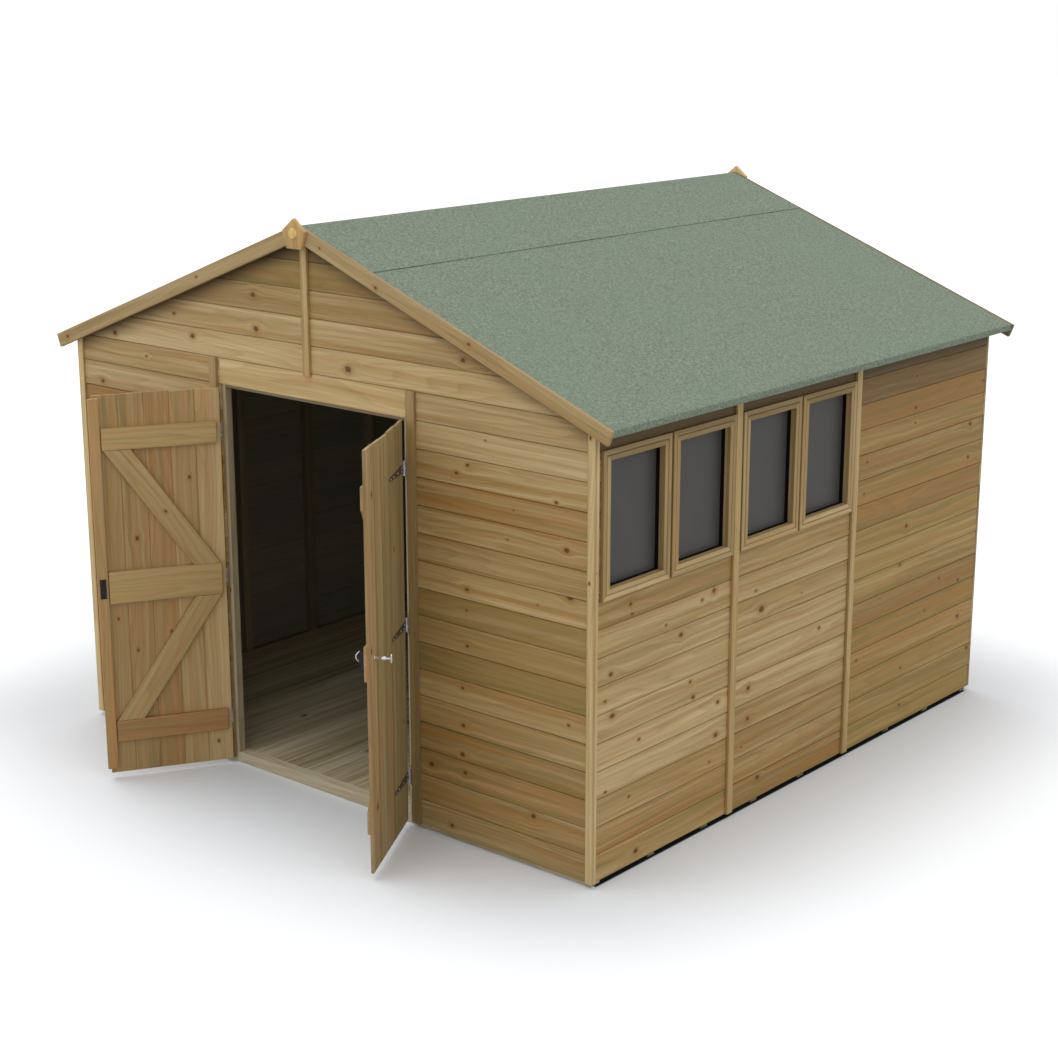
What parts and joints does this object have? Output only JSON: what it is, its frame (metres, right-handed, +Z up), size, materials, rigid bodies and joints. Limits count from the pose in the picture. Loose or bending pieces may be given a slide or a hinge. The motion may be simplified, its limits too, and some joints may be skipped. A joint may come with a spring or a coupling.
{
  "type": "garden shed",
  "caption": "Wooden garden shed with shiplap walls, a felted ridge roof, open double doors in the gable end and fixed windows along one side.",
  "frame": {"origin": "on the ground, under the middle of the floor, on the underside of the middle bearer", "axes": "+Z up; the gable wall with the double doors faces -Y; the wall with the windows faces +X"},
  "size_m": [3.2036, 3.553, 2.463],
  "materials": {
    "floor_wood": "rough sawn, unpainted",
    "cladding_wood": "smooth planed boards, pressure treated, unpainted",
    "frame_wood": "planed, unpainted",
    "roof_board": "rough board",
    "roof_felt": "green mineral grit, matte",
    "trim_wood": "planed, unpainted",
    "window_pane": "clear, polished",
    "door_wood": "planed boards, unpainted",
    "galvanised_steel": "galvanised, satin",
    "dark_steel": "dark satin",
    "lock_metal": "polished plated metal"
  },
  "bodies": {
    "shed": {"floor_bearers": "floor_wood", "front_sill": "floor_wood", "floor_deck": "floor_wood", "front_wall_left": "cladding_wood", "front_wall_right": "cladding_wood", "header_panel": "cladding_wood", "front_gable": "cladding_wood", "rear_gable": "cladding_wood", "rear_wall": "cladding_wood", "left_wall": "cladding_wood", "right_wall_lower": "cladding_wood", "right_wall_rear": "cladding_wood", "window_surround": "cladding_wood", "end_wall_studs": "frame_wood", "end_wall_rails": "frame_wood", "door_head": "frame_wood", "side_wall_studs": "frame_wood", "side_wall_rails": "frame_wood", "window_rails": "frame_wood", "gable_frames": "frame_wood", "roof_truss": "frame_wood", "roof_purlins": "frame_wood", "roof_deck_left": "roof_board", "roof_deck_right": "roof_board", "felt_left": "roof_felt", "felt_right": "roof_felt", "felt_ridge": "roof_felt", "corner_trims": "trim_wood", "cover_strips": "trim_wood", "front_battens": "trim_wood", "bargeboards": "trim_wood", "finials": "trim_wood", "window_frames": "trim_wood", "window_panes": "window_pane", "hinge_plates": "galvanised_steel"},
    "left_door": {"left_leaf": "door_wood", "left_bracing": "door_wood", "meeting_strip": "door_wood", "strike_plate": "dark_steel", "left_straps": "galvanised_steel"},
    "right_door": {"right_leaf": "door_wood", "right_bracing": "door_wood", "right_straps": "galvanised_steel", "door_lock": "lock_metal"}
  },
  "joints": [
    {"name": "left_door_hinge", "type": "hinge", "parent": "shed", "child": "left_door", "pos_m": [-0.542, -1.4975, 0.872], "axis": [0, 0, 1], "range_deg": [-39.5, 120.5]},
    {"name": "right_door_hinge", "type": "hinge", "parent": "shed", "child": "right_door", "pos_m": [0.542, -1.4975, 0.872], "axis": [0, 0, 1], "range_deg": [-119.2, 40.8]}
  ]
}
